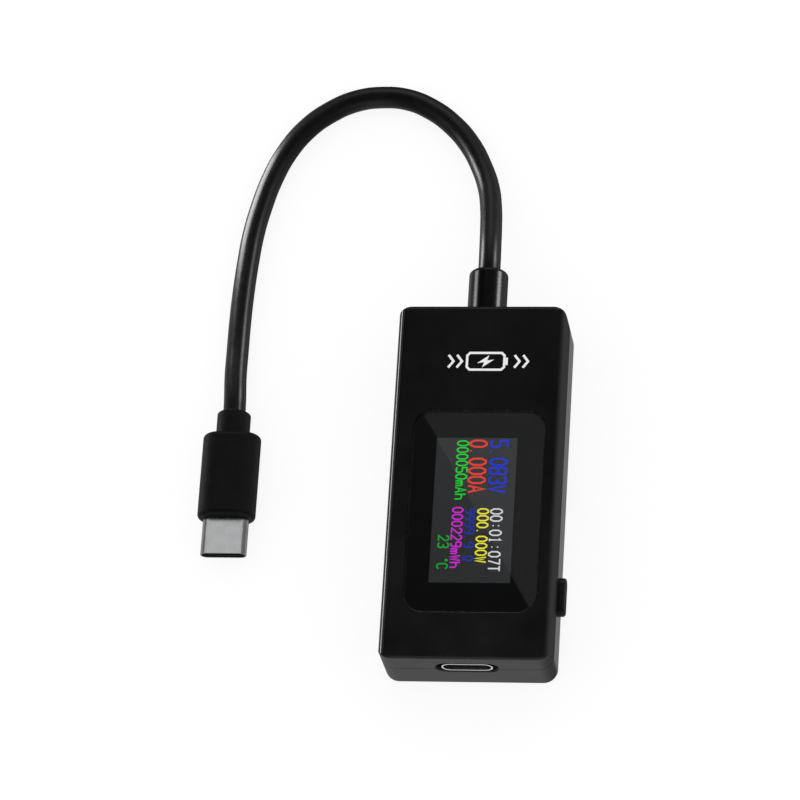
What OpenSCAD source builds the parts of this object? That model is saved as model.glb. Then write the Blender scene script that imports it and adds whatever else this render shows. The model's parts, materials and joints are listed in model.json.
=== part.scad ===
// USB power meter: a small in-line meter with a colour display, a USB-C socket in one
// end, and a short captive cord with a USB-C plug at the other end.
// The origin is the centre of the back face. +X points to the side button, +Y to the
// cord, and +Z out of the display. Millimetres.

/* [Case] */
// Width of the case
body_w = 30.2; // [29.7:0.1:32]
// Length of the case
body_l = 66; // [65:1:78]
// Thickness of the case
body_t = 13.2; // [13:0.1:14]
// Thickness of the case walls
wall = 1.4; // [1.3:0.1:1.5]
// Height of the line where the two shells part
split_z = 7.5; // [7.3:0.1:7.7]
// Radius of the upright corners
corner_r = 2.5; // [2.4:0.1:3]
// Radius of the short edges of the display face
front_edge_r = 0.7; // [0.6:0.1:1.2]
// Radius of the long edges of the display face
side_edge_r = 1.5; // [1.2:0.1:1.8]
// How far the front shell's long sides lean in at the display face
side_lean = 0.3; // [0.3:0.1:0.8]
// Radius of the edges round the back face
back_edge_r = 0.8; // [0.8:0.1:2.3]

/* [Display] */
// Width of the clear window
window_w = 23.3; // [22.5:0.1:24]
// Length of the clear window
window_l = 37.6; // [37:0.2:39]
// Corner radius of the clear window
window_r = 3.5; // [2:0.5:5]
// Width of the lit picture
picture_w = 14.2; // [12:0.1:15]
// Length of the lit picture
picture_l = 27; // [24:0.5:28]

/* [Button] */
// Length of the side button
button_l = 7; // [6:0.5:8]
// Height of the side button
button_h = 2.6; // [2.2:0.1:2.6]
// How far the side button stands out of the case
button_proud = 1.1; // [0.8:0.1:1.5]

/* [Cord and plug] */
// Diameter of the cord
cord_d = 4; // [3.6:0.1:4.1]
// Diameter of the strain relief on the case
relief_d = 7; // [6.6:0.1:7.2]
// Width of the plug's moulding
mould_w = 10.4; // [10:0.1:12]
// Length of the plug's moulding
mould_l = 16; // [14:0.5:18]

/* [Hidden] */
$fn = 64;
// Clearance between parts that slide into each other
gap = 0.05;
// How far a cutting solid runs past the face that it cuts
cut = 1;

// Centre line of the cord, from the end of the strain relief to the back of the plug
cord_route = [
    [0, 41.9, 7.2], [0, 43.9, 7.2], [-0.1, 47.4, 6.8], [-0.3, 51.4, 5.8],
    [-0.7, 56, 4.4], [-1.5, 60.6, 3.1], [-3.1, 65.2, 2.3], [-5.5, 69.8, 2.1],
    [-8.9, 73.9, 2.1], [-13, 77.1, 2.1], [-17.5, 79.1, 2.1], [-22.1, 79.6, 2.1],
    [-27, 78.9, 2.1], [-31.8, 76.6, 2.1], [-35.9, 73.2, 2.1], [-39.2, 68.6, 2.1],
    [-41.6, 63.2, 2.1], [-43.2, 57.6, 2.1], [-44.3, 52.1, 2.1], [-44.9, 46.5, 2.1],
    [-45.3, 40.5, 2.1], [-45.5, 34.5, 2.1], [-45.5, 28.5, 2.3], [-45.4, 23.5, 2.8],
    [-45.1, 19, 3.2], [-45, 16, 3.2]
];
cord_sides = 10;
cord_start = cord_route[0];
cord_end = cord_route[len(cord_route) - 1];

// Inside of the case, and the lip that the back shell pushes into the front shell
cavity_w = body_w - 2 * wall;
cavity_l = body_l - 2 * wall;
cavity_r = 1;
inner_top = body_t - wall;
lip_t = 0.65;
lip_h = 1;
// Open line between the shells; the front shell stands on the lip
reveal = 0.15;
bead_r = 0.35;
bead_l = 6;
bead_y = [-8, 16];

// Display stack, from the window down
window_x = 0.6;
window_y = -5.8;
window_t = 0.9;
mask_t = 0.1;
window_top = body_t - gap;
mask_top = window_top - window_t;
panel_top = mask_top - mask_t;
frame_t = 0.9;
frame_border = 0.7;
picture_x = 0.3;
picture_y = -5.5;
panel_w = 17.2;
panel_y0 = picture_y - 17.5;
panel_y1 = picture_y + 15.5;
panel_t = 1.3;
backlight_t = 1;
backlight_z = panel_top - panel_t - backlight_t;
flex_w = 8;
flex_t = 0.15;
foam_l = 4;
foam_y = [7, -14];

// USB-C socket: the standard shell and tongue
socket_x = 0.2;
socket_z = 8.2;
socket_w = 8.94;
socket_h = 3.16;
socket_l = 7.35;
socket_wall = 0.3;
socket_front = 0.1 - body_l / 2;
socket_back = socket_front + socket_l;
socket_hole_w = 10.6;
socket_hole_h = 3.8;
socket_flare = 0.3;
tongue_w = 6.69;
tongue_t = 0.7;
pin_pitch = 0.5;
pins_per_row = 12;

// Circuit board, under the socket
board_t = 1;
board_top = socket_z - socket_h / 2;
board_z = board_top - board_t;
board_w = 26.4;
board_y0 = 1.6 - body_l / 2;
board_y1 = 26;
post_x = 10.6;
post_y = [-27.8, 21];
post_d = 3.2;
pin_d = 1.4;
pin_top = board_top + 0.5;

// Side button and the switch that it presses
button_y = -18.2;
button_z = 3.4;
flange_t = 0.6;
flange_rim = 0.5;
flange_x = body_w / 2 - wall - 2 * gap - flange_t;
switch_w = 3.2;
switch_l = 4.6;
switch_h = 1.8;
switch_x = 8;
plunger_w = 2.4;
plunger_h = 1;
plunger_z = board_z - switch_h / 2;
plunger_x0 = 10.2;
plunger_x1 = 11.85;
dome_t = 0.1;

// Strain relief on the case
flange_l = 1.4;
flange_d = 8.4;
relief_back = body_l / 2 - wall - 2 * gap - flange_l;
tail_l = 2.2;
lead_start = relief_back - tail_l;

// USB-C plug: the standard shell, and the moulding round it
plug_x = cord_end.x;
plug_z = cord_end.z;
collar_d = 6;
collar_l = 4.2;
mould_back = cord_end.y - collar_l;
mould_front = mould_back - mould_l;
plug_w = 8.25;
plug_h = 2.4;
plug_wall = 0.2;
plug_l = 6.65;
plug_tail = 4;
plug_tip = mould_front - plug_l;
pocket_l = 10.5;
slot_w = 6.8;
slot_h = 0.95;
slot_l = 5.4;

// ---- Shared shapes ----

// A box whose underside is centred on at
module block(size, at) {
    translate(at - [size.x / 2, size.y / 2, 0]) cube(size);
}

module rounded_rect(w, l, r) {
    square([w - 2 * r, l], center = true);
    square([w, l - 2 * r], center = true);
    for (x = [-1, 1], y = [-1, 1]) {
        translate([x * (w / 2 - r), y * (l / 2 - r)]) circle(r);
    }
}

// A flat plate with round corners, from z0 up to z1
module plate(w, l, r, z0, z1) {
    translate([0, 0, z0]) linear_extrude(z1 - z0) rounded_rect(w, l, r);
}

// A flat-sided oval, long along X
module oval(l, h) {
    square([l - h, h], center = true);
    for (x = [-1, 1]) translate([x * (l - h) / 2, 0]) circle(d = h);
}

// An outline in X and Z, drawn out from y0 to y1
module along_y(y0, y1) {
    translate([0, y1, 0]) rotate([90, 0, 0]) linear_extrude(y1 - y0) children();
}

// An outline in Y and Z, drawn out from x0 to x1
module along_x(x0, x1) {
    translate([x0, 0, 0]) rotate([90, 0, 90]) linear_extrude(x1 - x0) children();
}

// What rounding takes off a corner at the origin, with the material at -x and +y
module fillet_waste(r) {
    difference() {
        translate([-r, -cut]) square([r + cut, r + cut]);
        translate([-r, r]) circle(r);
    }
}

// A rectangle from the axis out to radius r, with its two outer corners rounded
module rounded_section(r, h, low_r, high_r) {
    difference() {
        square([r, h]);
        translate([r, 0]) fillet_waste(low_r);
        translate([r, h]) mirror([0, 1]) fillet_waste(high_r);
    }
}

// An oval bar that stands on z = 0, with rounded edges at both ends
module rounded_bar(l, h, depth, low_r, high_r) {
    for (side = [0, 180]) rotate(side) translate([(l - h) / 2, 0, 0]) rotate(-90) {
        rotate_extrude(angle = 180) rounded_section(h / 2, depth, low_r, high_r);
    }
    translate([-(l - h) / 2, 0, 0]) rotate([90, 0, 90]) linear_extrude(l - h) {
        for (side = [0, 1]) mirror([side, 0]) rounded_section(h / 2, depth, low_r, high_r);
    }
}

// A bevel round an oval hole, widening by flare over the same depth, towards -Y
module oval_flare(l, h, flare) {
    for (x = [-1, 1]) translate([x * (l - h) / 2, 0, 0]) rotate([90, 0, 0]) {
        cylinder(h = flare, r1 = h / 2, r2 = h / 2 + flare);
    }
    along_x(-(l - h) / 2, (l - h) / 2) polygon([
        [0, -h / 2], [0, h / 2], [-flare, h / 2 + flare], [-flare, -h / 2 - flare]
    ]);
}

// Direction of a route at its point i
function heading(route, i) =
    let (last = len(route) - 1, step = route[min(i + 1, last)] - route[max(i - 1, 0)])
    step / norm(step);

// Points of one ring of a tube, square to the direction along
function ring(centre, along, r, sides) =
    let (level = cross(along, [0, 0, 1]), side = level / norm(level), up = cross(side, along))
    [for (k = [0:sides - 1])
        centre + r * (cos(360 * k / sides) * side + sin(360 * k / sides) * up)];

module tube(route, d, sides) {
    last = len(route) - 1;
    points = [for (i = [0:last]) each ring(route[i], heading(route, i), d / 2, sides)];
    walls = [for (i = [0:last - 1], k = [0:sides - 1])
        let (a = i * sides + k, b = i * sides + (k + 1) % sides)
        each [[a, b, b + sides], [a, b + sides, a + sides]]];
    ends = [[for (k = [sides - 1:-1:0]) k], [for (k = [0:sides - 1]) last * sides + k]];
    polyhedron(points, concat(walls, ends));
}

// ---- Case ----

module case_outline() {
    x = body_w / 2 - corner_r;
    y = body_l / 2 - corner_r;
    difference() {
        union() {
            block([2 * x, 2 * y, body_t], [0, 0, 0]);
            for (turn = [0, 180]) rotate(turn) {
                translate([x, y, 0]) rotate_extrude(angle = 90) case_edge();
                translate([-x, y, 0]) rotate(90) rotate_extrude(angle = 90) case_edge();
                translate([x, y, 0]) rotate([90, 0, 0]) linear_extrude(2 * y) case_edge();
                translate([-x, y, 0]) rotate([90, 0, 90]) linear_extrude(2 * x) case_edge();
            }
        }
        for (side = [0, 1]) mirror([side, 0, 0]) {
            along_y(-body_l / 2 - cut, body_l / 2 + cut) side_waste();
        }
    }
}

// What a long side leaves outside: above the parting line it leans in, and it rounds over
// into the display face
module side_waste() {
    r = side_edge_r;
    lean = atan(side_lean / (body_t - split_z));
    translate([body_w / 2, split_z]) rotate(lean) square([wall, body_t]);
    translate([body_w / 2 - side_lean + r * tan(lean) - r / cos(lean), body_t - r]) difference() {
        polygon([[0, 0], [2 * r * cos(lean), 2 * r * sin(lean)], [2 * r, 2 * r], [0, 2 * r]]);
        circle(r);
    }
}

module case_edge() {
    rounded_section(corner_r, body_t, back_edge_r, front_edge_r);
}

module cavity() {
    plate(cavity_w, cavity_l, cavity_r, wall, inner_top);
}

// The lip's outline, grown by clearance
module lip_block(z0, z1, clearance) {
    grow = 2 * (lip_t + clearance);
    plate(cavity_w + grow, cavity_l + grow, cavity_r + lip_t + clearance, z0, z1);
}

// Snap beads along the lip's long sides, or the grooves that take them
module beads(r) {
    for (x = [-1, 1], y = bead_y) {
        translate([x * (cavity_w / 2 + lip_t - 0.15), y, split_z + lip_h / 2]) {
            rotate([90, 0, 0]) cylinder(h = bead_l + 2 * (r - bead_r), r = r, center = true);
        }
    }
}

// The openings that the parting line runs through
module end_openings() {
    translate([socket_x, 0, socket_z]) {
        along_y(-body_l / 2 - cut, 1 - body_l / 2 + wall) oval(socket_hole_w, socket_hole_h);
        translate([0, socket_flare - body_l / 2, 0]) {
            oval_flare(socket_hole_w, socket_hole_h, socket_flare);
        }
    }
    translate([cord_start.x, body_l / 2 - wall - cut, cord_start.z]) rotate([-90, 0, 0]) {
        cylinder(h = wall + 2 * cut, d = relief_d + 2 * gap);
    }
}

module front_shell() {
    color("#141414") difference() {
        union() {
            difference() {
                intersection() {
                    case_outline();
                    block([body_w, body_l, body_t], [0, 0, split_z + reveal]);
                }
                cavity();
                lip_block(split_z - cut, split_z + lip_h, gap);
                beads(bead_r + gap);
            }
            window_frame();
            for (x = [-1, 1], y = post_y) clamp_boss([x * post_x, y, board_top + gap]);
        }
        translate([window_x, window_y, 0]) {
            plate(window_w + 2 * gap, window_l + 2 * gap, window_r + gap, panel_top, body_t + cut);
        }
        block([panel_w + 4 * gap, panel_y1 - panel_y0 + 4 * gap, 2 * cut + frame_t],
            [picture_x, (panel_y0 + panel_y1) / 2, panel_top - frame_t - cut]);
        end_openings();
    }
}

// Step inside the front shell that carries the window
module window_frame() {
    grow = 2 * frame_border;
    translate([window_x, window_y, 0]) {
        plate(window_w + grow, window_l + grow, window_r, panel_top - frame_t, inner_top + 0.2);
    }
}

// Hollow boss that holds the board down on its post
module clamp_boss(at) {
    translate(at) difference() {
        cylinder(h = inner_top - at.z + 0.2, d = post_d);
        translate([0, 0, -cut]) cylinder(h = cut + 1.2, d = pin_d + 0.4);
    }
}

module back_shell() {
    color("#161616") difference() {
        union() {
            difference() {
                intersection() {
                    case_outline();
                    block([body_w, body_l, split_z], [0, 0, 0]);
                }
                cavity();
            }
            difference() {
                union() {
                    lip_block(split_z - lip_h, split_z + lip_h, 0);
                    beads(bead_r);
                }
                cavity();
            }
            for (x = [-1, 1], y = post_y) translate([x * post_x, y, wall - 0.2]) {
                cylinder(h = board_z - wall + 0.2, d = post_d);
                cylinder(h = pin_top - wall + 0.2, d = pin_d);
            }
        }
        end_openings();
        translate([0, button_y, button_z]) along_x(body_w / 2 - wall - cut, body_w / 2 + cut) {
            oval(button_l + 4 * gap, button_h + 4 * gap);
        }
    }
}

// ---- Display ----

module display_window() {
    color("#202326", 0.4) translate([window_x, window_y, 0]) {
        plate(window_w, window_l, window_r, mask_top, window_top);
    }
}

module window_mask() {
    color("#050505") difference() {
        translate([window_x, window_y, 0]) {
            plate(window_w - 0.4, window_l - 0.4, window_r - 0.2, panel_top, mask_top);
        }
        block([picture_w, picture_l, 2 * cut], [picture_x, picture_y, panel_top - cut]);
    }
}

module lcd_panel() {
    color("#34363a") block([panel_w, panel_y1 - panel_y0, panel_t],
        [picture_x, (panel_y0 + panel_y1) / 2, panel_top - panel_t]);
}

module lcd_backlight() {
    color("#e8e8e4") block([panel_w, panel_y1 - panel_y0, backlight_t],
        [picture_x, (panel_y0 + panel_y1) / 2, backlight_z]);
}

// Flat ribbon that leaves the panel's end, turns back under it and lies on the board
module lcd_flex() {
    top = backlight_z + backlight_t + flex_t;
    turn_r = (top - board_top) / 2;
    color("#b5651d") along_x(picture_x - flex_w / 2, picture_x + flex_w / 2) {
        translate([panel_y0, board_top]) {
            difference() {
                translate([0, turn_r]) circle(turn_r);
                translate([0, turn_r]) circle(turn_r - flex_t);
                translate([0, -cut]) square(2 * turn_r + 2 * cut);
            }
            square([4, flex_t]);
        }
    }
}

module lcd_foam_pads() {
    color("#555555") for (y = foam_y) {
        block([panel_w - 3, foam_l, backlight_z - board_top], [picture_x, y, board_top]);
    }
}

// ---- Circuit board and what it carries ----

module main_board() {
    board_l = board_y1 - board_y0;
    notch = board_w / 2 - flange_x + 0.7;
    color("#17402a") difference() {
        translate([0, (board_y0 + board_y1) / 2, 0]) plate(board_w, board_l, 1, board_z, board_top);
        for (x = [-1, 1], y = post_y) translate([x * post_x, y, board_z - cut]) {
            cylinder(h = board_t + 2 * cut, d = pin_d + 2 * gap);
        }
        for (leg = leg_places()) block([0.6, 1.6, board_t + 2 * cut], leg - [0, 0, board_t + cut]);
        block([2 * notch, button_l + 3, board_t + 2 * cut],
            [board_w / 2, button_y, board_z - cut]);
    }
}

// The places on the board where the socket's legs go in
function leg_places() =
    let (across = (socket_w - socket_wall) / 2)
    [for (x = [-1, 1], y = [2.4, 6]) [socket_x + x * across, socket_front + y, board_top]];

module socket_shell() {
    color("#c8c8cc") {
        translate([socket_x, 0, socket_z]) {
            along_y(socket_front, socket_back) difference() {
                oval(socket_w, socket_h);
                oval(socket_w - 2 * socket_wall, socket_h - 2 * socket_wall);
            }
            along_y(socket_back - socket_wall, socket_back) oval(socket_w, socket_h);
        }
        for (leg = leg_places()) {
            block([socket_wall, 1.2, socket_h / 2 + board_t], leg - [0, 0, board_t - 0.2]);
        }
    }
}

module socket_tongue() {
    base_l = 1.8;
    base_back = socket_back - socket_wall - gap;
    color("#1c1c1e") translate([socket_x, 0, socket_z]) {
        along_y(base_back - base_l, base_back) {
            oval(socket_w - 2 * socket_wall - 2 * gap, socket_h - 2 * socket_wall - 2 * gap);
        }
        along_y(socket_front + 0.8, base_back - base_l / 2) square([tongue_w, tongue_t], center = true);
    }
}

// Two rows of contacts centred on z, on the faces of a gap or tongue that is apart thick
module contact_rows(y0, l, z, apart, t) {
    for (row = [-1, 1], i = [0:pins_per_row - 1]) {
        low = row > 0 ? z + apart / 2 : z - apart / 2 - t;
        block([pin_pitch / 2, l, t], [(i - (pins_per_row - 1) / 2) * pin_pitch, y0 + l / 2, low]);
    }
}

module socket_contacts() {
    color("#d4a847") translate([socket_x, 0, 0]) {
        contact_rows(socket_front + 1.2, 3.8, socket_z, tongue_t, 0.06);
    }
}

module switch_body() {
    color("#26262a") difference() {
        block([switch_w, switch_l, switch_h],
            [switch_x + switch_w / 2, button_y, board_z - switch_h]);
        block([3, plunger_w + 2 * gap, plunger_h + 2 * gap],
            [plunger_x0 + 1, button_y, plunger_z - plunger_h / 2 - gap]);
    }
}

// Domed spring strip behind the plunger
module switch_dome() {
    dome_r = 2;
    rise = 0.42;
    color("#c0c0c0") translate([plunger_x0 - gap / 2 - dome_r, button_y, plunger_z - 0.4]) {
        linear_extrude(0.8) intersection() {
            difference() {
                circle(dome_r);
                circle(dome_r - dome_t);
            }
            translate([dome_r - rise, -plunger_w / 2]) square([cut, plunger_w]);
        }
    }
}

module switch_plunger() {
    color("#7a2f2f") block([plunger_x1 - plunger_x0, plunger_w, plunger_h],
        [(plunger_x0 + plunger_x1) / 2, button_y, plunger_z - plunger_h / 2]);
}

module side_button() {
    proud_x = body_w / 2 + button_proud;
    stem_x = plunger_x1 + gap;
    color("#2a2a2c") translate([0, button_y, 0]) {
        translate([flange_x, 0, button_z]) rotate([90, 0, 90]) {
            rounded_bar(button_l, button_h, proud_x - flange_x, 0.1, 0.5);
        }
        translate([0, 0, button_z]) along_x(flange_x, flange_x + flange_t) {
            oval(button_l + 2 * flange_rim, button_h + 2 * flange_rim);
        }
        block([flange_x - stem_x + gap, plunger_w - 0.4, plunger_h - 0.2],
            [(flange_x + stem_x + gap) / 2, 0, plunger_z - plunger_h / 2 + 0.1]);
    }
}

// Square chip package with a row of legs on each side
module microcontroller() {
    side = 7;
    legs = 8;
    pitch = 0.8;
    color("#1a1a1c") translate([0, -3, board_top]) {
        block([side, side, 1.3], [0, 0, 0.1]);
        for (turn = [0:90:270], i = [0:legs - 1]) rotate(turn) {
            block([0.35, 1.2, 0.25], [(i - (legs - 1) / 2) * pitch, side / 2 + 0.3, 0]);
        }
    }
}

// Two-ended chip: a body with metal caps that stand a little proud of it
module chip(size, at, turn = 0) {
    cap = size.x / 5;
    translate(at) rotate(turn) {
        block(size - [0, 0.1, 0.05], [0, 0, 0.025]);
        for (x = [-1, 1]) block([cap, size.y, size.z], [x * (size.x - cap) / 2, 0, 0]);
    }
}

module shunt_resistor() {
    color("#2c2c30") chip([6.3, 3.2, 0.8], [6, 17, board_top], 90);
}

module voltage_regulator() {
    color("#1a1a1c") translate([-6.5, 17, board_top]) {
        block([4.5, 2.5, 1.4], [0, 0, 0.1]);
        for (x = [-1.5, 0, 1.5]) block([0.5, 1.4, 0.3], [x, -1.6, 0]);
        block([1.8, 1.2, 0.3], [0, 1.5, 0]);
    }
}

module chip_capacitors() {
    color("#9c7b54") {
        for (x = [-9.5, -6.9, 6.9, 9.5]) chip([2, 1.25, 0.9], [x, -3, board_top], 90);
        for (x = [-9.5, -6.5]) chip([2, 1.25, 0.9], [x, 12, board_top]);
    }
}

module chip_resistors() {
    color("#2a2a2e") {
        for (x = [-9.5, -7, 7, 9.5]) chip([1.6, 0.8, 0.45], [x, 2.5, board_top], 90);
        for (x = [-3, -1, 1, 3]) chip([1.6, 0.8, 0.45], [x, 13, board_top], 90);
    }
}

module thermistor() {
    color("#3b4a5a") chip([1.6, 0.8, 0.7], [-8.5, -24, board_top], 90);
}

// ---- Strain relief and cord ----

module strain_relief() {
    end_r = 0.8;
    color("#1e1e1e") translate([cord_start.x, relief_back, cord_start.z]) rotate([-90, 0, 0]) {
        rotate_extrude() union() {
            square([flange_d / 2, flange_l]);
            rounded_section(relief_d / 2, cord_start.y - relief_back, 0.1, end_r);
        }
    }
}

// End of the cord's jacket inside the case
module cord_tail() {
    color("#202020") translate([cord_start.x, lead_start, cord_start.z]) rotate([-90, 0, 0]) {
        cylinder(h = tail_l, d = cord_d);
    }
}

// Insulated wire from the jacket's end down to a pad on the board
module lead(across, rise, pad_x, d) {
    x = cord_start.x + across;
    z = cord_start.z + rise;
    pad_z = board_top + d / 2 + 0.02;
    tube([
        [x, lead_start, z], [x, lead_start - 0.6, z],
        [(x + pad_x) / 2, lead_start - 2, (z + pad_z) / 2 + 0.4],
        [pad_x, lead_start - 3.6, pad_z], [pad_x, lead_start - 5.5, pad_z]
    ], d, 6);
}

module power_lead() {
    color("#b01c1c") lead(-1.05, 0, -5, 1.3);
}

module ground_lead() {
    color("#101010") lead(1.05, 0, 5, 1.3);
}

module signal_leads() {
    color("#e6e6e6") for (side = [-1, 1]) lead(side * 0.6, 1.25, side * 1.5, 0.9);
}

module cord() {
    color("#1a1a1a") tube(cord_route, cord_d, cord_sides);
}

// ---- Plug ----

module plug_overmold() {
    color("#161616") difference() {
        translate([plug_x, mould_front, plug_z]) rotate([-90, 0, 0]) {
            rounded_bar(mould_w, 2 * plug_z, mould_l, 0.9, 0.8);
            translate([0, 0, mould_l - cut]) rotate_extrude() {
                rounded_section(collar_d / 2, collar_l + cut, 0.1, 0.3);
            }
        }
        translate([plug_x, 0, plug_z]) along_y(mould_front - cut, mould_front + pocket_l) {
            oval(plug_w + gap, plug_h + gap);
        }
    }
}

module plug_shell() {
    color("#b4b4b8") translate([plug_x, 0, plug_z]) along_y(plug_tip, mould_front + plug_tail) {
        difference() {
            oval(plug_w, plug_h);
            oval(plug_w - 2 * plug_wall, plug_h - 2 * plug_wall);
        }
    }
}

module plug_housing() {
    inset = 2 * plug_wall + gap;
    color("#1c1c1e") translate([plug_x, 0, plug_z]) difference() {
        along_y(plug_tip + 0.3, mould_front + plug_tail - 0.2) oval(plug_w - inset, plug_h - inset);
        along_y(plug_tip - cut, plug_tip + slot_l) square([slot_w, slot_h], center = true);
    }
}

module plug_contacts() {
    t = 0.08;
    color("#d4a847") translate([plug_x, 0, 0]) {
        contact_rows(plug_tip + 0.9, 4.2, plug_z, slot_h - 2 * t, t);
    }
}

module plug_latch_springs() {
    color("#c0c0c0") for (x = [-1, 1]) {
        block([0.2, 3.2, 0.6], [plug_x + x * (slot_w / 2 - 0.1), plug_tip + 3, plug_z - 0.3]);
    }
}

module plug_board() {
    board_l = 6;
    color("#17402a") block([7.2, board_l, 0.6],
        [plug_x, mould_front + plug_tail - 0.2 + board_l / 2, plug_z - 0.3]);
}

front_shell();
back_shell();
display_window();
window_mask();
lcd_panel();
lcd_backlight();
lcd_flex();
lcd_foam_pads();
main_board();
socket_shell();
socket_tongue();
socket_contacts();
switch_body();
switch_dome();
switch_plunger();
side_button();
microcontroller();
shunt_resistor();
voltage_regulator();
chip_capacitors();
chip_resistors();
thermistor();
strain_relief();
cord_tail();
power_lead();
ground_lead();
signal_leads();
cord();
plug_overmold();
plug_shell();
plug_housing();
plug_contacts();
plug_latch_springs();
plug_board();
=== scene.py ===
"""Looks of the USB power meter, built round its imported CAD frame. Metres throughout."""
import json
import math

import bmesh
import bpy
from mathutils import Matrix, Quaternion, Vector


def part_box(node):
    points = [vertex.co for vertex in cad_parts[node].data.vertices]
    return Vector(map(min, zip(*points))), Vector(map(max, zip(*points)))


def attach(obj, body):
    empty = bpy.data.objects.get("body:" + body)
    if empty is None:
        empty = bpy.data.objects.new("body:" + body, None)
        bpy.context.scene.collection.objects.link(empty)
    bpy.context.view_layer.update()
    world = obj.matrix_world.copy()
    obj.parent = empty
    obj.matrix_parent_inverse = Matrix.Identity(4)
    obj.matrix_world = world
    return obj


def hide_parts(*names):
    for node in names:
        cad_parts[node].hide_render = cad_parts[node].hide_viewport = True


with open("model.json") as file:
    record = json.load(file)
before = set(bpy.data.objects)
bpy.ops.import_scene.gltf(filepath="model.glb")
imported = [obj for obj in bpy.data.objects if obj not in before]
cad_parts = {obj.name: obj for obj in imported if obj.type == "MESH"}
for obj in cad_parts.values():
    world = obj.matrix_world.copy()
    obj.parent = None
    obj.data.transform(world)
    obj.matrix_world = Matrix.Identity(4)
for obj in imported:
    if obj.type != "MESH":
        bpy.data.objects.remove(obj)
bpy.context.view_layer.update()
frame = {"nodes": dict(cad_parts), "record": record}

MM = 0.001
NODES = frame["nodes"]

# ---- Camera ----

CAMERA_AIM = Vector((-15.8, 20.4, -0.2)) * MM
CAMERA_DISTANCE = 0.8
CAMERA_AZIMUTH = 20.86
CAMERA_ELEVATION = 65.97
CAMERA_ROLL = -18.97
CAMERA_LENS = 201.25


def direction(azimuth, elevation):
    """Unit vector towards a place; azimuth 0 is -Y and 90 is +X, both in degrees."""
    across, rise = math.radians(azimuth), math.radians(elevation)
    return Vector((
        math.sin(across) * math.cos(rise),
        -math.cos(across) * math.cos(rise),
        math.sin(rise),
    ))


def link(thing):
    bpy.context.scene.collection.objects.link(thing)
    return thing


def make_camera():
    back = direction(CAMERA_AZIMUTH, CAMERA_ELEVATION)
    camera = link(bpy.data.objects.new("camera", bpy.data.cameras.new("camera")))
    camera.location = CAMERA_AIM + back * CAMERA_DISTANCE
    camera.rotation_mode = "QUATERNION"
    roll = Quaternion((0, 0, 1), math.radians(CAMERA_ROLL))
    camera.rotation_quaternion = back.to_track_quat("Z", "Y") @ roll
    camera.data.lens = CAMERA_LENS
    camera.data.clip_end = 10
    bpy.context.scene.camera = camera
    return camera


camera = make_camera()

# ---- Cord ----

CORD_DIAMETER = 4 * MM
CORD_ROUTE = [
    (0, 41.9, 7.2), (0, 43.9, 7.2), (-0.1, 47.4, 6.8), (-0.3, 51.4, 5.8),
    (-0.7, 56, 4.4), (-1.5, 60.6, 3.1), (-3.1, 65.2, 2.3), (-5.5, 69.8, 2.1),
    (-8.9, 73.9, 2.1), (-13, 77.1, 2.1), (-17.5, 79.1, 2.1), (-22.1, 79.6, 2.1),
    (-27, 78.9, 2.1), (-31.8, 76.6, 2.1), (-35.9, 73.2, 2.1), (-39.2, 68.6, 2.1),
    (-41.6, 63.2, 2.1), (-43.2, 57.6, 2.1), (-44.3, 52.1, 2.1), (-44.9, 46.5, 2.1),
    (-45.3, 40.5, 2.1), (-45.5, 34.5, 2.1), (-45.5, 28.5, 2.3), (-45.4, 23.5, 2.8),
    (-45.1, 19, 3.2), (-45, 16, 3.2),
]


def place(piece, body, slot, *stands_for):
    """Puts a finished piece on its CAD body and hides the nodes that it stands for; slot is not used.
    """
    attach(piece, body)
    if stands_for:
        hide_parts(*stands_for)
    return piece


def make_cord():
    curve = bpy.data.curves.new("cord_jacket", "CURVE")
    curve.dimensions = "3D"
    curve.bevel_depth = 1
    curve.bevel_resolution = 8
    curve.use_fill_caps = True
    spline = curve.splines.new("BEZIER")
    spline.resolution_u = 10
    spline.bezier_points.add(len(CORD_ROUTE) - 1)
    for point, at in zip(spline.bezier_points, CORD_ROUTE):
        point.co = Vector(at) * MM
        point.radius = CORD_DIAMETER / 2
        point.handle_left_type = "AUTO"
        point.handle_right_type = "AUTO"
    cord = place(link(bpy.data.objects.new("cord_jacket", curve)), "case", "cord_jacket", "cord")
    return cord


cord = make_cord()

# ---- Material tools ----

# The part of a noise's range that is spread over a colour ramp or a range of roughness
NOISE_LOW = 0.3
NOISE_HIGH = 0.7


def linear(hex_colour):
    """Linear red, green and blue of a display colour such as "1a35d0"."""
    channels = [int(hex_colour[i:i + 2], 16) / 255 for i in (0, 2, 4)]
    return [c / 12.92 if c <= 0.04045 else ((c + 0.055) / 1.055) ** 2.4 for c in channels]


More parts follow.
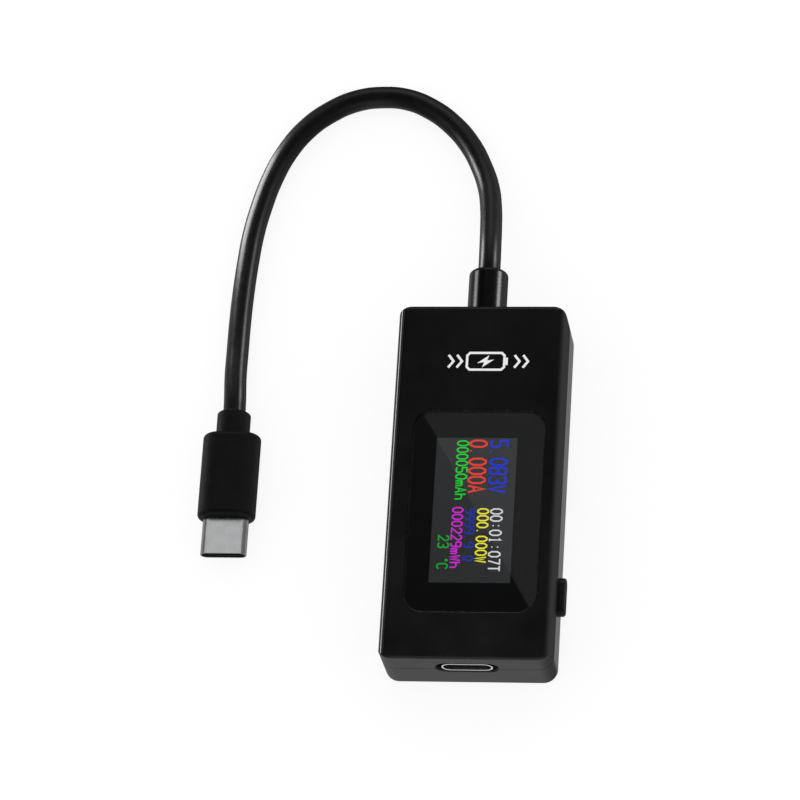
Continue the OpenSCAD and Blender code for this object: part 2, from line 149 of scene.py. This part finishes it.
class Surface:
    """A Principled material, and the procedural nodes that vary it."""

    def __init__(self, name, colour, roughness, **sockets):
        self.material = bpy.data.materials.new(name)
        self.material.use_nodes = True
        self.tree = self.material.node_tree
        self.shader = self.tree.nodes["Principled BSDF"]
        self.shader.inputs["Base Color"].default_value = (*colour, 1)
        self.shader.inputs["Roughness"].default_value = roughness
        for socket, value in sockets.items():
            self.shader.inputs[socket.replace("_", " ")].default_value = value

    def node(self, kind, **inputs):
        made = self.tree.nodes.new("ShaderNode" + kind)
        for name, value in inputs.items():
            socket = made.inputs[name.replace("_", " ")]
            if isinstance(value, bpy.types.NodeSocket):
                self.tree.links.new(value, socket)
            else:
                socket.default_value = value
        return made

    def place(self, stretch=(1, 1, 1)):
        """Position on the piece in metres, scaled by stretch along each axis."""
        position = self.node("TexCoord").outputs["Object"]
        return self.node("Mapping", Vector=position, Scale=stretch).outputs["Vector"]

    def noise(self, size, stretch=(1, 1, 1), detail=2):
        """Soft noise from 0 to 1, with blobs about size across."""
        made = self.node("TexNoise", Vector=self.place(stretch), Scale=1 / size, Detail=detail)
        return made.outputs["Fac"]

    def colour(self, value, dark, light):
        ramp = self.node("ValToRGB", Fac=value)
        ramp.color_ramp.elements[0].color = (*dark, 1)
        ramp.color_ramp.elements[0].position = NOISE_LOW
        ramp.color_ramp.elements[1].color = (*light, 1)
        ramp.color_ramp.elements[1].position = NOISE_HIGH
        self.drive("Base Color", ramp.outputs["Color"])
        return self

    def drive(self, socket, value):
        self.tree.links.new(value, self.shader.inputs[socket])
        return self

    def roughness(self, value, low, high):
        spread = self.node(
            "MapRange", Value=value, From_Min=NOISE_LOW, From_Max=NOISE_HIGH,
            To_Min=low, To_Max=high,
        )
        return self.drive("Roughness", spread.outputs["Result"])

    def bump(self, height, depth, strength=1):
        """Raises the surface by up to depth metres where height is 1, on top of any earlier bump."""
        made = self.node("Bump", Height=height, Distance=depth, Strength=strength)
        normal = self.shader.inputs["Normal"]
        if normal.links:
            self.tree.links.new(normal.links[0].from_socket, made.inputs["Normal"])
        return self.drive("Normal", made.outputs["Normal"])


def grey(level, warmth=0):
    return (level * (1 + warmth), level, level * (1 - warmth))


# ---- Materials of the case and window ----


def case_gloss():
    """Polished black moulding, with faint flow waves and hairline wear."""
    made = Surface("case_gloss", grey(0.0008), 0.14, IOR=1.5)
    made.colour(made.noise(9 * MM), grey(0.0005), grey(0.0011))
    hairlines = made.noise(0.25 * MM, stretch=(1, 0.04, 1), detail=3)
    made.roughness(hairlines, 0.11, 0.18)
    made.bump(made.noise(6 * MM), 0.012 * MM)
    return made.bump(hairlines, 0.0004 * MM).material


def window_clear():
    """Clear acrylic, with a slight smoke tint and a few smudges."""
    made = Surface(
        "window_clear", (0.86, 0.88, 0.9), 0.0, IOR=1.49, Transmission_Weight=1.0
    )
    return made.bump(made.noise(14 * MM), 0.004 * MM).material


def window_border():
    """Black ink behind the window, very slightly mottled."""
    made = Surface("window_border", grey(0.002), 0.4, Specular_IOR_Level=0.1)
    made.colour(made.noise(3 * MM), grey(0.0012), grey(0.0026))
    return made.bump(made.noise(0.2 * MM), 0.002 * MM).material


PIXEL = 0.17 * MM
PANEL_GLOW = 0.026


def lcd_surface():
    """Dark glass of the display: fine rows of pixels with a dim glow behind them."""
    made = Surface("lcd_surface", grey(0.01), 0.12, Specular_IOR_Level=1.0)
    lines = made.node("TexBrick", Vector=made.place(), Scale=1.0)
    lines.offset = 0
    lines.inputs["Color1"].default_value = (1, 1, 1, 1)
    lines.inputs["Color2"].default_value = (0.9, 0.92, 0.96, 1)
    lines.inputs["Mortar"].default_value = (0.72, 0.72, 0.72, 1)
    lines.inputs["Brick Width"].default_value = PIXEL
    lines.inputs["Row Height"].default_value = PIXEL
    lines.inputs["Mortar Size"].default_value = 0.12 * PIXEL
    made.drive("Emission Color", lines.outputs["Color"])
    made.shader.inputs["Emission Strength"].default_value = PANEL_GLOW
    return made.bump(lines.outputs["Fac"], 0.001 * MM).material


READOUT_GLOW = 1.0
READOUT_UNEVENNESS = 0.2


def readout_light(name, hex_colour):
    """One colour of lit display segment, a little uneven along its strokes."""
    made = Surface(name, grey(0.004), 0.5, Specular_IOR_Level=0.1)
    colour = linear(hex_colour)
    ramp = made.node("ValToRGB", Fac=made.noise(0.25 * MM))
    for element, sign in zip(ramp.color_ramp.elements, (-1, 1)):
        element.color = (*[(1 + sign * READOUT_UNEVENNESS) * c for c in colour], 1)
    made.drive("Emission Color", ramp.outputs["Color"])
    made.shader.inputs["Emission Strength"].default_value = READOUT_GLOW
    return made.material


def sign_ink():
    """White pad-printed ink, with the slight mottle of a printed film."""
    made = Surface("sign_ink", grey(0.86), 0.4)
    made.colour(made.noise(0.4 * MM, detail=4), grey(0.82), grey(0.9))
    return made.bump(made.noise(0.15 * MM), 0.003 * MM).material


# ---- Materials of the moving parts, cord and plug ----


def button_plastic():
    made = Surface("button_plastic", grey(0.008), 0.3)
    made.colour(made.noise(2 * MM), grey(0.006), grey(0.01))
    made.roughness(made.noise(0.5 * MM, detail=4), 0.24, 0.38)
    return made.bump(made.noise(0.12 * MM), 0.002 * MM).material


def plunger_plastic():
    made = Surface("plunger_plastic", (0.3, 0.05, 0.05), 0.45)
    made.colour(made.noise(0.5 * MM), (0.26, 0.04, 0.04), (0.34, 0.06, 0.06))
    return made.bump(made.noise(0.1 * MM), 0.003 * MM).material


def relief_rubber():
    """Satin elastomer of the strain relief."""
    made = Surface("relief_rubber", grey(0.001), 0.2)
    made.colour(made.noise(2 * MM), grey(0.0006), grey(0.0014))
    made.roughness(made.noise(0.6 * MM, detail=4), 0.17, 0.23)
    return made.bump(made.noise(0.15 * MM), 0.004 * MM).material


def cord_jacket():
    """Smooth black jacket with long faint draw lines and a soft bloom."""
    made = Surface("cord_jacket", grey(0.003), 0.3)
    made.colour(made.noise(5 * MM), grey(0.002), grey(0.004))
    made.roughness(made.noise(1.2 * MM, detail=4), 0.27, 0.33)
    made.bump(made.noise(3 * MM), 0.01 * MM)
    return made.bump(made.noise(0.12 * MM), 0.001 * MM).material


def plug_rubber():
    """Matte elastomer with the fine sparkle of an eroded mould."""
    made = Surface("plug_rubber", grey(0.0025), 0.55)
    made.colour(made.noise(3 * MM), grey(0.0018), grey(0.0032))
    made.roughness(made.noise(0.8 * MM, detail=4), 0.5, 0.6)
    return made.bump(made.noise(0.09 * MM, detail=3), 0.003 * MM).material


def nickel_steel():
    """Drawn steel under nickel plate, brushed along the plug."""
    made = Surface("nickel_steel", grey(0.6), 0.3, Metallic=1.0)
    grain = made.noise(0.12 * MM, stretch=(1, 0.06, 1), detail=3)
    made.colour(made.noise(2 * MM), grey(0.57, -0.01), grey(0.63, -0.01))
    made.roughness(grain, 0.26, 0.34)
    return made.bump(grain, 0.0002 * MM).material


def contact_gold():
    made = Surface("contact_gold", (0.83, 0.6, 0.25), 0.25, Metallic=1.0)
    made.colour(made.noise(0.4 * MM), (0.76, 0.53, 0.2), (0.88, 0.66, 0.3))
    return made.roughness(made.noise(0.2 * MM), 0.18, 0.32).material


def black_insulator():
    made = Surface("black_insulator", grey(0.012), 0.42)
    made.colour(made.noise(1 * MM), grey(0.01), grey(0.015))
    return made.bump(made.noise(0.1 * MM), 0.002 * MM).material


# ---- Materials inside the case ----


def white_plastic():
    made = Surface("white_plastic", grey(0.8), 0.4)
    made.colour(made.noise(3 * MM), grey(0.77), grey(0.83))
    return made.bump(made.noise(0.3 * MM), 0.003 * MM).material


def flex_film():
    """Amber film over copper tracks."""
    made = Surface("flex_film", (0.45, 0.19, 0.04), 0.3)
    tracks = made.node("TexWave", Vector=made.place(), Scale=1 / (2 * MM))
    tracks.bands_direction = "X"
    made.colour(tracks.outputs["Fac"], (0.36, 0.13, 0.02), (0.55, 0.26, 0.07))
    return made.bump(tracks.outputs["Fac"], 0.01 * MM).material


def foam():
    """Closed-cell foam: small round cells."""
    made = Surface("foam", grey(0.09), 0.9)
    cells = made.node("TexVoronoi", Vector=made.place(), Scale=1 / (0.35 * MM))
    made.colour(cells.outputs["Distance"], grey(0.05), grey(0.13))
    return made.bump(cells.outputs["Distance"], 0.08 * MM).material


def circuit_board():
    """Green solder mask over a maze of copper tracks."""
    made = Surface("circuit_board", (0.012, 0.09, 0.035), 0.32)
    cells = made.node("TexVoronoi", Vector=made.place(), Scale=1 / (1.6 * MM))
    cells.distance = "CHEBYCHEV"
    cells.feature = "F2"
    made.colour(cells.outputs["Distance"], (0.01, 0.075, 0.03), (0.025, 0.15, 0.055))
    return made.bump(cells.outputs["Distance"], 0.03 * MM).material


def chip_package():
    made = Surface("chip_package", grey(0.02), 0.5)
    made.colour(made.noise(0.6 * MM, detail=4), grey(0.014), grey(0.028))
    return made.bump(made.noise(0.08 * MM), 0.006 * MM).material


def ceramic():
    made = Surface("ceramic", (0.42, 0.28, 0.16), 0.45)
    made.colour(made.noise(0.3 * MM, detail=4), (0.36, 0.23, 0.13), (0.48, 0.33, 0.19))
    return made.bump(made.noise(0.08 * MM), 0.004 * MM).material


def wire(name, dark, light):
    made = Surface(name, light, 0.38)
    made.colour(made.noise(1 * MM), dark, light)
    return made.bump(made.noise(0.2 * MM), 0.005 * MM).material


def slot_materials():
    return {
        "case_gloss": case_gloss(),
        "window_clear": window_clear(),
        "window_border": window_border(),
        "lcd_surface": lcd_surface(),
        "white_plastic": white_plastic(),
        "flex_film": flex_film(),
        "foam": foam(),
        "circuit_board": circuit_board(),
        "nickel_steel": nickel_steel(),
        "contact_gold": contact_gold(),
        "black_insulator": black_insulator(),
        "button_plastic": button_plastic(),
        "plunger_plastic": plunger_plastic(),
        "chip_package": chip_package(),
        "ceramic": ceramic(),
        "relief_rubber": relief_rubber(),
        "cord_jacket": cord_jacket(),
        "wire_red": wire("wire_red", (0.45, 0.015, 0.015), (0.6, 0.025, 0.02)),
        "wire_black": wire("wire_black", grey(0.008), grey(0.014)),
        "wire_white": wire("wire_white", grey(0.68), grey(0.8)),
        "plug_rubber": plug_rubber(),
    }


def paint(thing, material):
    thing.data.materials.clear()
    thing.data.materials.append(material)


MATERIALS = slot_materials()
for subpart in frame["record"]["subparts"]:
    paint(NODES[subpart["node"]], MATERIALS[subpart["material_slot"]])
paint(cord, MATERIALS["cord_jacket"])

# ---- Mesh tools ----

MITRE_LIMIT = 0.5


def mesh_object(name, builder, material):
    """An object from a bmesh that builder fills."""
    shape = bmesh.new()
    builder(shape)
    bmesh.ops.recalc_face_normals(shape, faces=shape.faces)
    mesh = bpy.data.meshes.new(name)
    shape.to_mesh(mesh)
    shape.free()
    made = link(bpy.data.objects.new(name, mesh))
    paint(made, material)
    return made


def prism(shape, outline, low, high):
    """A closed flat solid from an outline of (x, y) points."""
    rings = [[shape.verts.new((x, y, z)) for x, y in outline] for z in (low, high)]
    shape.faces.new(rings[0][::-1])
    shape.faces.new(rings[1])
    for i in range(len(outline)):
        j = (i + 1) % len(outline)
        shape.faces.new([rings[0][i], rings[0][j], rings[1][j], rings[1][i]])


def strip_edges(points, width, closed):
    """The left and right edge points of a mitred strip along points."""
    count = len(points)
    edges = []
    for i, point in enumerate(points):
        before = point - points[i - 1] if closed or i else points[1] - point
        after = points[(i + 1) % count] - point if closed or i < count - 1 else before
        first, second = (Vector((-d.y, d.x)).normalized() for d in (before, after))
        mitre = (first + second).normalized()
        offset = mitre * width / 2 / max(mitre.dot(first), MITRE_LIMIT)
        edges.append((point + offset, point - offset))
    return edges


def stroke(shape, points, width, low, high):
    """A flat line of constant width; it closes on itself when its last point is its first."""
    closed = points[0] == points[-1]
    edges = strip_edges(points[:-1] if closed else points, width, closed)
    steps = len(edges) if closed else len(edges) - 1
    for i in range(steps):
        (a, b), (c, d) = edges[i], edges[(i + 1) % len(edges)]
        prism(shape, [a, b, d, c], low, high)


# ---- Readout ----

GLYPH_W = 4
GLYPH_H = 8
LOOP = [(1, 0), (3, 0), (4, 1), (4, 3), (3, 4), (1, 4), (0, 3), (0, 1), (1, 0)]
GLYPHS = {
    " ": [],
    ".": [[(0.4, 0.3), (1.2, 0.3)]],
    ":": [[(1.6, 2), (2.4, 2)], [(1.6, 6), (2.4, 6)]],
    "0": [[(1.3, 0), (2.7, 0), (4, 2), (4, 6), (2.7, 8), (1.3, 8), (0, 6), (0, 2), (1.3, 0)]],
    "1": [[(1, 6.5), (2, 8), (2, 0)], [(1, 0), (3, 0)]],
    "2": [[(0, 6), (1, 8), (3, 8), (4, 6.5), (4, 5), (0, 0), (4, 0)]],
    "3": [[(0, 7), (1, 8), (3, 8), (4, 7), (4, 5), (3, 4), (1.5, 4)],
          [(3, 4), (4, 3), (4, 1), (3, 0), (1, 0), (0, 1)]],
    "5": [[(4, 8), (0, 8), (0, 4.5), (3, 4.5), (4, 3.5), (4, 1), (3, 0), (1, 0), (0, 1)]],
    "7": [[(0, 8), (4, 8), (1.6, 0)]],
    "8": [LOOP, [(x, y + 4) for x, y in LOOP]],
    "9": [[(4, 5), (3, 4), (1, 4), (0, 5), (0, 7), (1, 8), (3, 8), (4, 7), (4, 2), (2.6, 0), (1, 0)]],
    "A": [[(0, 0), (2, 8), (4, 0)], [(0.8, 2.8), (3.2, 2.8)]],
    "C": [[(4, 6.5), (3, 8), (1, 8), (0, 6.5), (0, 1.5), (1, 0), (3, 0), (4, 1.5)]],
    "T": [[(0, 8), (4, 8)], [(2, 8), (2, 0)]],
    "V": [[(0, 8), (2, 0), (4, 8)]],
    "W": [[(0, 8), (1, 0), (2, 6), (3, 0), (4, 8)]],
    "h": [[(0, 8), (0, 0)], [(0, 4), (1.4, 5), (3, 5), (4, 4), (4, 0)]],
    "m": [[(0, 5), (0, 0)], [(0, 4), (1, 5), (2, 4), (2, 0)], [(2, 4), (3, 5), (4, 4), (4, 0)]],
    "°": [[(2.4, 6.4), (3.2, 6.4), (3.2, 7.6), (2.4, 7.6), (2.4, 6.4)]],
    "Ω": [[(0, 0), (1.2, 0), (1.2, 1.6), (0, 4), (0, 6), (1, 8), (3, 8), (4, 6), (4, 4),
           (2.8, 1.6), (2.8, 0), (4, 0)]],
}

# name, figures, colour, foot and top of the figures from the picture's -X edge,
# start from its +Y edge, pitch, stroke width; all in millimetres
READOUTS = [
    ("readout_voltage", "5.083V", "1a35d0", 9.4, 12.7, 0.5, 1.7, 0.37),
    ("readout_current", "0.000A", "f04030", 5.8, 9.0, 0.5, 1.7, 0.35),
    ("readout_charge", "000050mAh", "10e030", 3.6, 5.7, 0.6, 1.25, 0.23),
    ("readout_clock", "00:01:07T", "e8e8e8", 10.1, 12.3, 13.3, 1.32, 0.24),
    ("readout_power", "000.000W", "f8f040", 7.8, 9.9, 13.3, 1.28, 0.26),
    ("readout_resistance", "9999.9 Ω", "2038b0", 5.7, 7.5, 13.3, 1.25, 0.24),
    ("readout_energy", "000229mWh", "e030e0", 3.4, 5.4, 13.1, 1.27, 0.23),
    ("readout_temperature", "23 °C", "10b030", 1.2, 3.2, 18.3, 1.3, 0.24),
]
GLYPH_SHARE = 0.7
READOUT_LIFT = 0.01 * MM
READOUT_T = 0.03 * MM
PICTURE_L = 27 * MM
PICTURE_W = 14.2 * MM
PICTURE_X = 0.3 * MM
PICTURE_Y = -5.5 * MM


def readout_line(shape, figures, foot, top, start, pitch, width):
    """Strokes of one line of figures, which reads towards -Y with its top towards +X."""
    panel_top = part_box("lcd_panel")[1].z
    low = panel_top + READOUT_LIFT
    corner = Vector((PICTURE_X - PICTURE_W / 2, PICTURE_Y + PICTURE_L / 2))
    rise = (top - foot - width) / GLYPH_H
    run = GLYPH_SHARE * pitch / GLYPH_W
    for i, figure in enumerate(figures):
        for line in GLYPHS[figure]:
            points = [
                corner + Vector((foot + width / 2 + y * rise, -start - i * pitch - x * run)) * MM
                for x, y in line
            ]
            stroke(shape, points, width * MM, low, low + READOUT_T)


def make_readouts():
    for name, figures, hex_colour, *sizes in READOUTS:
        line = mesh_object(
            name,
            lambda shape: readout_line(shape, figures, *sizes),
            readout_light(name, hex_colour),
        )
        place(line, "case", "lcd_surface")


make_readouts()

# ---- Printed sign: a battery with a bolt in it, between two pairs of arrowheads ----

SIGN_AT = Vector((1.1, 22.25)) * MM
SIGN_T = 0.012 * MM
SIGN_LINE = 0.42 * MM
BATTERY_W = 6.6
BATTERY_H = 3.2
BATTERY_BEVEL = 0.5
TERMINAL_X = 3.7
TERMINAL_H = 1.4
BOLT = [(-1.5, -0.35), (0.6, 1.15), (0.25, 0.15), (1.5, 0.35), (-0.6, -1.15), (-0.25, -0.15)]
ARROW_X = [5.1, 6.6]
ARROW_W = 0.9
ARROW_H = 2.4


def battery_outline():
    x, y, bevel = BATTERY_W / 2, BATTERY_H / 2, BATTERY_BEVEL
    corners = [
        (x - bevel, -y), (x, bevel - y), (x, y - bevel), (x - bevel, y),
        (bevel - x, y), (-x, y - bevel), (-x, bevel - y), (bevel - x, -y),
    ]
    return corners + corners[:1]


def printed_sign(shape):
    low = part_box("front_shell")[1].z
    high = low + SIGN_T

    def on_case(points):
        return [SIGN_AT + Vector(p) * MM for p in points]

    stroke(shape, on_case(battery_outline()), SIGN_LINE, low, high)
    terminal = [(TERMINAL_X, -TERMINAL_H / 2), (TERMINAL_X, TERMINAL_H / 2)]
    stroke(shape, on_case(terminal), SIGN_LINE, low, high)
    prism(shape, on_case(BOLT), low, high)
    for side in (-1, 1):
        for x in ARROW_X:
            near, far = side * x, side * x + ARROW_W
            points = [(near, -ARROW_H / 2), (far, 0), (near, ARROW_H / 2)]
            stroke(shape, on_case(points), SIGN_LINE, low, high)


place(mesh_object("printed_sign", printed_sign, sign_ink()), "case", "white_plastic")

# ---- Window ----

WINDOW_R = 3.5 * MM
WINDOW_EDGE = 0.12 * MM
WINDOW_GAP = 0.01 * MM
ARC_STEPS = 10
EDGE_STEPS = 6


def rounded_outline(centre, width, length, radius):
    """Points round a rectangle with round corners."""
    points = []
    for quarter in range(4):
        x = (width / 2 - radius) * (1 if quarter in (0, 3) else -1)
        y = (length / 2 - radius) * (1 if quarter < 2 else -1)
        for step in range(ARC_STEPS + 1):
            angle = (quarter + step / ARC_STEPS) * math.pi / 2
            points.append((
                centre.x + x + radius * math.cos(angle),
                centre.y + y + radius * math.sin(angle),
            ))
    return points


def window_pane(shape):
    """The clear pane, with its top edge polished round."""
    low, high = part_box("display_window")
    centre, size = (low + high) / 2, high - low
    levels = [(low.z + WINDOW_GAP, 0)]
    for step in range(EDGE_STEPS + 1):
        turn = step / EDGE_STEPS * math.pi / 2
        inset = WINDOW_EDGE * (1 - math.cos(turn))
        levels.append((high.z - WINDOW_EDGE * (1 - math.sin(turn)), inset))
    rings = []
    for z, inset in levels:
        outline = rounded_outline(
            centre, size.x - 2 * inset, size.y - 2 * inset, WINDOW_R - inset
        )
        rings.append([shape.verts.new((x, y, z)) for x, y in outline])
    for lower, upper in zip(rings, rings[1:]):
        for i in range(len(lower)):
            j = (i + 1) % len(lower)
            shape.faces.new([lower[i], lower[j], upper[j], upper[i]])
    shape.faces.new(rings[0][::-1])
    shape.faces.new(rings[-1])


window = mesh_object("window_pane", window_pane, MATERIALS["window_clear"])
for face in window.data.polygons:
    face.use_smooth = len(face.vertices) == 4
place(window, "case", "window_clear", "display_window")

# ---- Floor, surroundings and lights ----

BACKDROP = 0.99
FLOOR_GLOW = 0.87
FLOOR_DIFFUSE = 0.14
FLOOR_SIZE = 6
FLOOR_DROP = 0.2 * MM
FILL_LIGHT = 1.0
SKY_BASE = 0.02
# direction, sharpness and brightness of each soft patch that gloss reflects
SKY_PATCHES = [
    ((-0.85, 0.38, -0.35), 4, 0.45),
    ((-0.15, -0.50, -0.85), 5, 0.4),
    ((0.10, -0.95, 0.10), 6, 0.45),
    ((0.91, 0.385, -0.13), 3, 0.45),
    ((0.00, 0.80, 0.55), 15, 0.7),
]


def floor_material():
    """A pale floor that glows a little; it is clear from below, so the back can be seen."""
    material = bpy.data.materials.new("floor")
    material.use_nodes = True
    tree = material.node_tree
    shader = tree.nodes["Principled BSDF"]
    shader.inputs["Base Color"].default_value = (FLOOR_DIFFUSE,) * 3 + (1,)
    shader.inputs["Specular IOR Level"].default_value = 0
    shader.inputs["Roughness"].default_value = 1
    shader.inputs["Emission Color"].default_value = (1, 1, 1, 1)
    shader.inputs["Emission Strength"].default_value = FLOOR_GLOW
    clear = tree.nodes.new("ShaderNodeBsdfTransparent")
    side = tree.nodes.new("ShaderNodeNewGeometry")
    mix = tree.nodes.new("ShaderNodeMixShader")
    tree.links.new(side.outputs["Backfacing"], mix.inputs["Fac"])
    tree.links.new(shader.outputs["BSDF"], mix.inputs[1])
    tree.links.new(clear.outputs["BSDF"], mix.inputs[2])
    tree.links.new(mix.outputs["Shader"], tree.nodes["Material Output"].inputs["Surface"])
    return material


def make_floor():
    def square(shape):
        half = FLOOR_SIZE / 2
        corners = [(-half, -half), (half, -half), (half, half), (-half, half)]
        shape.faces.new([shape.verts.new((x, y, -FLOOR_DROP)) for x, y in corners])

    floor = mesh_object("floor", square, floor_material())
    floor.visible_glossy = False
    floor.visible_shadow = False


class WorldNodes:
    """The world's node tree, with short names for the few nodes that it needs."""

    def __init__(self):
        world = bpy.data.worlds.new("studio")
        world.use_nodes = True
        world.cycles.sampling_method = "NONE"
        bpy.context.scene.world = world
        self.tree = world.node_tree

    def math(self, operation, a, b):
        made = self.tree.nodes.new("ShaderNodeMath")
        made.operation = operation
        for socket, value in zip(made.inputs, (a, b)):
            if isinstance(value, bpy.types.NodeSocket):
                self.tree.links.new(value, socket)
            else:
                socket.default_value = value
        return made.outputs[0]

    def facing(self, towards):
        """How far a ray points towards a direction, from 0 to 1."""
        ray = self.tree.nodes.new("ShaderNodeTexCoord").outputs["Generated"]
        made = self.tree.nodes.new("ShaderNodeVectorMath")
        made.operation = "DOT_PRODUCT"
        self.tree.links.new(ray, made.inputs[0])
        made.inputs[1].default_value = Vector(towards).normalized()
        return self.math("MAXIMUM", made.outputs["Value"], 0)

    def choose(self, which, if_not, if_so):
        """if_so where which is 1, else if_not."""
        return self.math(
            "ADD",
            self.math("MULTIPLY", which, if_so),
            self.math("MULTIPLY", self.math("SUBTRACT", 1, which), if_not),
        )


def make_world():
    """White to the camera, even light on matt surfaces, and soft patches in the gloss."""
    made = WorldNodes()
    gloss = SKY_BASE
    for towards, sharpness, brightness in SKY_PATCHES:
        patch = made.math("POWER", made.facing(towards), sharpness)
        gloss = made.math("ADD", gloss, made.math("MULTIPLY", patch, brightness))
    ray = made.tree.nodes.new("ShaderNodeLightPath")
    light = made.choose(ray.outputs["Is Glossy Ray"], FILL_LIGHT, gloss)
    light = made.choose(ray.outputs["Is Camera Ray"], light, BACKDROP)
    background = made.tree.nodes["Background"]
    background.inputs["Color"].default_value = (1, 1, 1, 1)
    made.tree.links.new(light, background.inputs["Strength"])


# Watts that a lamp needs for each square metre, at a brightness of 1
WATTS_PER_AREA = 4


def softbox(name, at, aim, width, height, radiance):
    """A rectangular lamp whose face has the given brightness."""
    data = bpy.data.lights.new(name, "AREA")
    data.shape = "RECTANGLE"
    data.size = width
    data.size_y = height
    data.energy = radiance * width * height * WATTS_PER_AREA
    lamp = link(bpy.data.objects.new(name, data))
    lamp.location = at
    lamp.rotation_mode = "QUATERNION"
    lamp.rotation_quaternion = (Vector(at) - Vector(aim)).to_track_quat("Z", "Y")
    return lamp


LAMP_DISTANCE = 0.6
SHELLS = ["front_shell", "back_shell"]
PLUG_METAL = ["plug_shell", "socket_shell"]
# name, direction towards it, width, height, brightness and the pieces that it lights
LAMPS = [
    ("left_strip", (-0.862, 0.385, 0.332), 0.14, 0.2, 5, ["strain_relief"]),
    ("right_strip", (0.886, 0.385, 0.257), 0.14, 0.2, 6, ["strain_relief"]),
    ("left_edge", (-0.92, 0.385, 0.08), 0.3, 0.09, 9, SHELLS + ["window_pane"]),
    ("left_skirt", (-0.80, 0.385, 0.46), 0.3, 0.3, 0.25, SHELLS),
    ("side_fill", (0.146, 0.385, -0.911), 0.3, 0.3, 0.17, ["back_shell"]),
    ("mould_left", (-0.85, 0.38, -0.10), 0.3, 0.3, 0.5, ["plug_overmold"]),
    ("cord_right", (0.80, 0.52, 0.38), 0.14, 0.2, 6, ["cord_jacket"]),
    ("socket_rim", (-0.146, -0.385, -0.911), 0.3, 0.3, 0.5, ["socket_shell"]),
    ("overhead", (-0.146, 0.385, 0.911), 0.8, 0.5, 0.52, PLUG_METAL),
]
# A lamp close to the bend of the cord, so that its shine fades along the jacket
CORD_LAMP = 8
CORD_LAMP_AT = (-0.082, 0.084, 0.014)
CORD_LAMP_AIM = (-0.043, 0.058, 0.002)
CORD_LAMP_SIZE = (0.036, 0.044)


def light_only(lamp, pieces):
    """Lets a lamp reach the named pieces and nothing else."""
    receivers = bpy.data.collections.new(lamp.name + "_receivers")
    for piece in pieces:
        receivers.objects.link(bpy.data.objects[piece])
    lamp.light_linking.receiver_collection = receivers
    return lamp


def make_lamps():
    for name, towards, width, height, radiance, pieces in LAMPS:
        at = CAMERA_AIM + Vector(towards).normalized() * LAMP_DISTANCE
        light_only(softbox(name, at, CAMERA_AIM, width, height, radiance), pieces)
    near = softbox("cord_lamp", CORD_LAMP_AT, CORD_LAMP_AIM, *CORD_LAMP_SIZE, CORD_LAMP)
    light_only(near, ["cord_jacket"])


# A broad lamp near the socket's end, which brightens the lower part of the display face
LOW_LAMP = 50
LOW_LAMP_AT = (0, -0.12, 0.12)
LOW_LAMP_AIM = (0, -0.03, 0.012)
LOW_LAMP_SIZE = 0.1


def make_low_lamp():
    lamp = softbox("low_lamp", LOW_LAMP_AT, LOW_LAMP_AIM, LOW_LAMP_SIZE, LOW_LAMP_SIZE, LOW_LAMP)
    lamp.visible_glossy = False
    light_only(lamp, SHELLS)


WINDOW_SHINE = 0.12
WINDOW_SHINE_HEIGHT = 0.5
WINDOW_SHINE_SIZE = 0.8
# Where the edge of the lit part crosses the window, from its +Y -X and -Y +X corners
SHINE_FROM = Vector((1.5, -0.5)) * MM
SHINE_TO = Vector((-0.8, 0.2)) * MM


def seen_in_window(x, y):
    """The point at the softbox's height that the camera sees mirrored at a place on the pane."""
    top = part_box("display_window")[1].z
    mirrored = Vector((camera.location.x, camera.location.y, 2 * top - camera.location.z))
    ray = Vector((x, y, top)) - mirrored
    return mirrored + ray * (WINDOW_SHINE_HEIGHT - mirrored.z) / ray.z


def make_window_shine():
    """An overhead softbox for the pane alone, with one edge mirrored across it as a diagonal."""
    low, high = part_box("display_window")
    start = seen_in_window(low.x + SHINE_FROM.x, high.y + SHINE_FROM.y)
    end = seen_in_window(high.x + SHINE_TO.x, low.y + SHINE_TO.y)
    edge = (end - start).normalized()
    outwards = Vector((-edge.y, edge.x, 0))
    middle = (start + end) / 2 + outwards * WINDOW_SHINE_SIZE / 2
    lamp = softbox(
        "window_shine", middle, middle - Vector((0, 0, 1)),
        WINDOW_SHINE_SIZE, WINDOW_SHINE_SIZE, WINDOW_SHINE,
    )
    turn = Quaternion((0, 0, 1), math.atan2(edge.y, edge.x))
    lamp.rotation_quaternion = turn
    light_only(lamp, ["window_pane", "lcd_panel"])


make_floor()
make_world()
make_lamps()
make_low_lamp()
make_window_shine()
bpy.context.scene.view_settings.view_transform = "Standard"

# ---- Last update of the view layer ----


def write_sizes():
    bpy.context.view_layer.update()


write_sizes()
